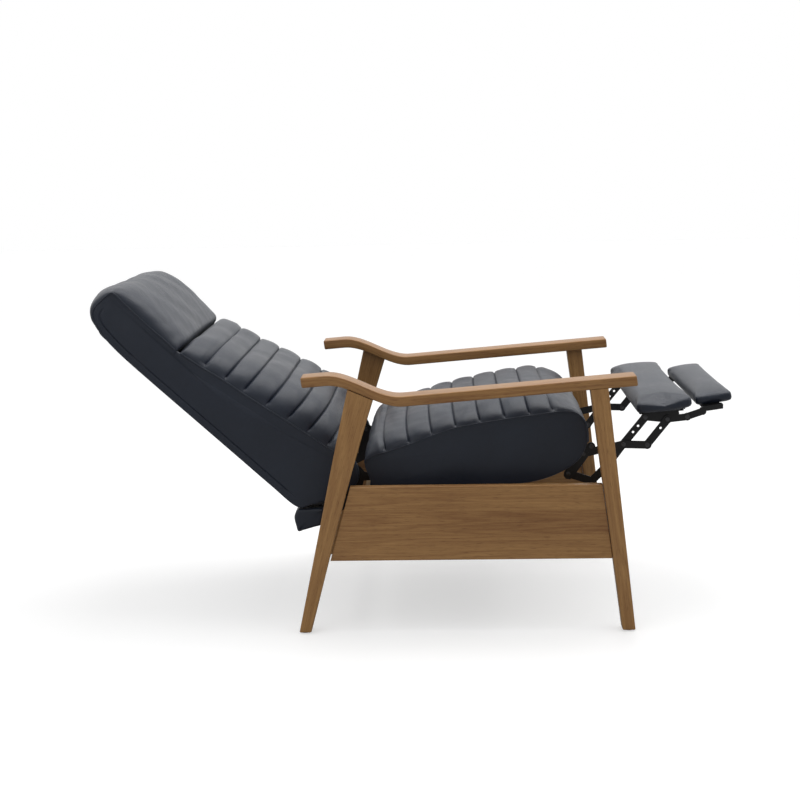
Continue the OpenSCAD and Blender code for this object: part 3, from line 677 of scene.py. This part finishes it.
def welt(name, place_in, knots, y, body):
    """A sewn seam's raised edge: a small circle carried along the smooth line through the knots, with one
    axis square to the line in the side's plane and the other across the chair."""
    line = through(knots, np.linspace(0, len(knots) - 1, 12 * len(knots)))
    tangent = np.gradient(line, axis=0)
    square = np.stack([-tangent[:, 1], tangent[:, 0]], -1) / np.linalg.norm(tangent, axis=1)[:, None]
    turn = np.linspace(0, 2 * math.pi, 9)[:-1]
    ring = line[:, None] + WELT_R * square[:, None] * np.cos(turn)[:, None]
    piece = skin(name, place_in(ring[..., 0], y + WELT_R * np.sin(turn), ring[..., 1]), leather)
    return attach(piece, body)


for side, hand in ((-1, "right"), (1, "left")):
    welt(f"{hand}_seat_welt", in_seat, seat_seam[2:], side * 286.6, "seat")

seat_side_line = [(-229, 59), (-200, 63.5), (-140, 66), (-60, 73), (0, 76.5), (60, 72), (130, 65),
                  (200, 56.5), (250, 49), (277, 39), (290, 22), (296, 2), (293, -18), (288, -36), (277, -55),
                  (258, -73), (222, -88), (170, -96), (110, -92), (0, -70), (-120, -44), (-225, -20),
                  (-229, 10)]
for side, hand in ((-1, "right"), (1, "left")):
    boxing = padded_board(f"{hand}_seat_boxing", in_seat, seat_side_line, 266.4, 290.0, BOXING_EDGE,
                          BOXING_BULGE, side, 31 + side)
    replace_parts(boxing, f"{hand}_seat_side")
    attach(boxing, "seat")

# ---------------------------------------------------------------------------------------------
# Under the seat's front edge a narrower padded roll leaves room for the footrest links, and
# a padded bar hangs on the side plates below the back.

front_roll_line = [(228, 20), (228, -30), (228, -78), (240, -84), (256, -78), (273, -62), (286, -43),
                   (289, -34), (291, -20), (291, 10), (275, 22), (250, 22)]
front_roll = padded_board("front_roll_cover", in_seat, front_roll_line, -238.0, 238.0, 12.0, 0.0, 1, 41)
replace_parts(front_roll, "seat_front_roll")
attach(front_roll, "seat")


def in_chair(x, y, z):
    """Chair millimetres as they are."""
    return np.stack(np.broadcast_arrays(x, y, z), -1)


tail_line = [(-398, 280), (-405, 270), (-407.5, 258), (-404, 241), (-399, 226), (-385, 229), (-362, 235.5),
             (-344, 241), (-339, 252), (-336.5, 264), (-338, 280), (-350, 282), (-375, 281.5)]
tail = padded_board("seat_tail_bar", in_chair, tail_line, -279.0, 279.0, 7.0, 0.0, 1, 51)
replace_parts(tail, "seat_tail")
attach(tail, "seat")

# ---------------------------------------------------------------------------------------------
# The back: two rails and springs between padded side boards. The front is sewn in channels like
# the seat, and its lower part is thick, to hold the small of the back.

BACK_RISE = math.radians(42.6)
BACK_FOOT = (-393.0, 282.0)


def in_back(s, y, n):
    """Back distances (up the back, across, out of its front) as chair millimetres: turned by its rise."""
    return np.stack(np.broadcast_arrays(
        BACK_FOOT[0] - s * math.cos(BACK_RISE) + n * math.sin(BACK_RISE), y,
        BACK_FOOT[1] + s * math.sin(BACK_RISE) + n * math.cos(BACK_RISE)), -1)


BACK_HALF = 284.0
back_seam = [(-22, 66), (-26, 100), (-22, 135), (-8, 158), (16, 163), (53, 156.5), (110, 148.5), (165, 140.5),
             (224, 131), (286, 122), (337, 115.5), (394, 105), (430, 99.5), (452, 96), (457, 84)]
back_crown = [(-22, 66), (-28, 112), (-20, 158), (2, 194), (26, 212), (57, 222), (110, 229), (165, 222),
              (226, 206.5), (288, 191), (341, 173), (397, 161), (432, 149), (452, 135), (458, 104)]
back_cover = cover("back_cover", in_back, back_seam, back_crown, BACK_HALF, core=(200, -60), depth=15,
                   channels=(5, 11, 57.0), steps=(26, 9), fade=(1, 9), pillow=6.0, groove=3.0, seed=13,
                   power=2.4)
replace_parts(back_cover, "back_cushion")
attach(back_cover, "back")

head_seam = [(464, 66), (463, 84), (470, 94), (500, 95.5), (540, 95), (585, 96), (628, 98), (660, 100),
             (669, 92), (673, 66), (674, 46), (669, 31), (657, 20), (642, 14), (627, 10)]
head_crown = [(464, 66), (460, 105), (467, 124), (488, 130), (530, 134), (578, 136), (622, 133), (655, 122),
              (680, 97), (693, 73), (695, 50), (686, 29), (668, 15), (649, 8), (628, 5)]
headrest = cover("headrest_cover", in_back, head_seam, head_crown, BACK_HALF, core=(560, -20), depth=16,
                 channels=(0, 0, 57.0), steps=(20, 9), fade=(9, 24), pillow=0.0, groove=0.0, seed=17,
                 power=4.2)
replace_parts(headrest, "headrest")
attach(headrest, "back")

back_side_line = [(10, -1), (90, -3), (200, -3), (330, -3), (460, -3), (560, -1.5), (620, 5), (650, 13),
                  (667, 26), (674, 44), (673, 66), (669, 89), (661, 98.5), (640, 98), (610, 96), (560, 94),
                  (470, 93.5), (394, 104), (286, 121), (165, 139), (60, 155), (14, 168), (-12, 176),
                  (-34, 170), (-52, 155), (-60, 136), (-57, 112), (-46, 88), (-34, 60), (-14, 26)]


for side, hand in ((-1, "right"), (1, "left")):
    welt(f"{hand}_back_welt", in_back, back_seam[3:14], side * 284.0, "back")
    welt(f"{hand}_headrest_welt", in_back, head_seam[2:], side * 284.0, "back")


def rear_and_top(ring):
    """1 along the rear and the top of the back's side, 0 along its front seam."""
    return np.clip((60 - ring[:, 1]) / 15, 0, 1) * np.clip((ring[:, 0] - 20) / 30, 0, 1)


for side, hand in ((-1, "right"), (1, "left")):
    boxing = padded_board(f"{hand}_back_boxing", in_back, back_side_line, 266.6, 287.0, BOXING_EDGE,
                          BOXING_BULGE, side, 61 + side, count=220, sewn=(18.5, rear_and_top))
    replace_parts(boxing, f"{hand}_back_side")
    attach(boxing, "back")

# ---------------------------------------------------------------------------------------------
# The outside back: a thin hardboard panel covered in leather, tucked between the side boards.

outside_line = [(16, -1.2), (16, -3.6), (18, -5.4), (100, -5.6), (300, -5.6), (500, -5.6), (560, -4.6),
                (600, -2.6), (622, -1.4), (632, 1.6), (633, 4.6), (626, 3.4), (612, 1.6), (600, 1.0),
                (560, -0.6), (500, -1.3), (300, -1.3), (100, -1.2)]
outside = padded_board("outside_back_panel", in_back, outside_line, -262.0, 262.0, 1.3, 0.0, 1, 71, count=220)
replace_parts(outside, "outside_back")
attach(outside, "back")

# ---------------------------------------------------------------------------------------------
# The two footrest pads: foam on plywood, wrapped in leather that is pulled over the edges and
# stapled below, where a black lining covers the board. A short cloth run fills the leather out.

lining, lining_shader, draw = new_finish("black_lining", {"Specular IOR Level": 0.2})
place = draw.node("TexCoord", out="Object")
warp = place.node("TexWave", {"bands_direction": "X"}, {"Vector": place, "Scale": 420.0}, out="Fac")
weft = place.node("TexWave", {"bands_direction": "Y"}, {"Vector": place, "Scale": 420.0}, out="Fac")
woven_tone = (warp * 0.5 + weft * 0.5).mix((0.008, 0.008, 0.009, 1), (0.022, 0.022, 0.024, 1))
feed(lining_shader, Base_Color=woven_tone, Roughness=0.78 + warp * 0.1,
     Normal=raised(warp + weft, 0.00015, 0.5))
painted(lining, "footrest_board", "flipper_board")

PAD_FACE = (467.0, 530.0)
PAD_TILT = math.radians(4.4)


def in_pad(p, y, q):
    """Pad distances (to the front, across, up) as chair millimetres: turned by the pad's tilt."""
    return np.stack(np.broadcast_arrays(PAD_FACE[0] + p * math.cos(PAD_TILT) - q * math.sin(PAD_TILT), y,
                                        PAD_FACE[1] + p * math.sin(PAD_TILT) + q * math.cos(PAD_TILT)), -1)


def pad(name, place_in, half_long, half_wide, low, high, crown, edge, spacing):
    """A pad's section is a rectangle with rounded corners, carried across the chair and drawn in at the ends;
    its top is raised by crown (1 - p²) (1 - y⁶)."""
    along, draw_in = eased_stations(2 * half_wide, edge, int(2 * half_wide / spacing))
    turn = np.linspace(0, 2 * math.pi, int(2 * (2 * half_long + high - low) / spacing) + 1)[:-1]
    corner = 0.34
    p = half_long * np.sign(np.cos(turn)) * np.abs(np.cos(turn))**corner
    q = (high - low) / 2 * np.sign(np.sin(turn)) * np.abs(np.sin(turn))**corner
    run = np.concatenate([[0], np.cumsum(np.hypot(np.diff(p), np.diff(q)))])
    even = np.linspace(0, run[-1], len(turn))
    p, q = np.interp(even, run, p), np.interp(even, run, q)
    squeeze = 1 - draw_in[:, None] / half_long
    thin = 1 - draw_in[:, None] / (high - low)
    y = (along - half_wide)[:, None]
    rise = crown * (1 - (p / half_long)**2) * (1 - (y / half_wide)**6) * (q > 0)
    rings = place_in(p * squeeze, y, (high + low) / 2 + q * thin + rise)
    return skin(name, rings, leather, 75.0)


CLOTH_FRAMES = 20
CLOTH_PRESSURE = 4.0


def stuff(piece, cap, on_board):
    """Blows the piece up a little as cloth with air in it, for twenty frames; no point moves more than cap
    metres. Points that on_board marks stay where they are."""
    mesh = piece.data
    before = np.zeros(len(mesh.vertices) * 3)
    mesh.vertices.foreach_get("co", before)
    before = before.reshape(-1, 3)
    held = piece.vertex_groups.new(name="held")
    held.add([int(i) for i in np.flatnonzero(on_board(before))], 1.0, "ADD")
    cloth = piece.modifiers.new("stuffing", "CLOTH")
    cloth.settings.quality = 5
    cloth.settings.mass = 0.3
    cloth.settings.tension_stiffness = 12
    cloth.settings.compression_stiffness = 12
    cloth.settings.shear_stiffness = 4
    cloth.settings.bending_stiffness = 0.6
    cloth.settings.use_pressure = True
    cloth.settings.uniform_pressure_force = CLOTH_PRESSURE
    cloth.settings.vertex_group_mass = "held"
    cloth.settings.effector_weights.gravity = 0
    cloth.point_cache.frame_start = 1
    cloth.point_cache.frame_end = CLOTH_FRAMES
    for step in range(1, CLOTH_FRAMES + 1):
        bpy.context.scene.frame_set(step)
    posed = piece.evaluated_get(bpy.context.evaluated_depsgraph_get()).to_mesh()
    after = np.zeros(len(mesh.vertices) * 3)
    posed.vertices.foreach_get("co", after)
    piece.modifiers.remove(cloth)
    piece.vertex_groups.clear()
    move = after.reshape(-1, 3) - before
    length = np.maximum(np.linalg.norm(move, axis=1, keepdims=True), 1e-9)
    mesh.vertices.foreach_set("co", (before + move * np.minimum(1, cap / length)).ravel())
    mesh.update()
    bpy.context.scene.frame_set(1)


def smoothed(piece):
    """One live level of subdivision."""
    finish = piece.modifiers.new("smooth", "SUBSURF")
    finish.levels = 1
    finish.render_levels = 1
    return piece


footrest_pad = pad("footrest_pad", in_pad, 66.0, 294.0, -23.0, 4.0, 11.0, 14.0, 6.0)
stuff(footrest_pad, 0.006, lambda co: co[:, 2] < (PAD_FACE[1] - 20) * MM)
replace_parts(smoothed(footrest_pad), "footrest_cushion")
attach(footrest_pad, "footrest")

FLIPPER_MID = (591.0, 527.0)
FLIPPER_TILT = math.atan(0.1406)


def in_flipper(p, y, q):
    """Flipper distances (to the front, across, up) as chair millimetres: turned by the flipper's tilt."""
    return np.stack(np.broadcast_arrays(
        FLIPPER_MID[0] + p * math.cos(FLIPPER_TILT) - q * math.sin(FLIPPER_TILT), y,
        FLIPPER_MID[1] + p * math.sin(FLIPPER_TILT) + q * math.cos(FLIPPER_TILT)), -1)


flipper_pad = pad("flipper_pad", in_flipper, 43.5, 236.0, -11.5, 12.0, 8.5, 11.0, 5.0)
stuff(flipper_pad, 0.005, lambda co: co[:, 2] < 0.512 + 0.1406 * (co[:, 0] - 0.69))
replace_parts(smoothed(flipper_pad), "flipper_cushion")
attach(flipper_pad, "flipper")
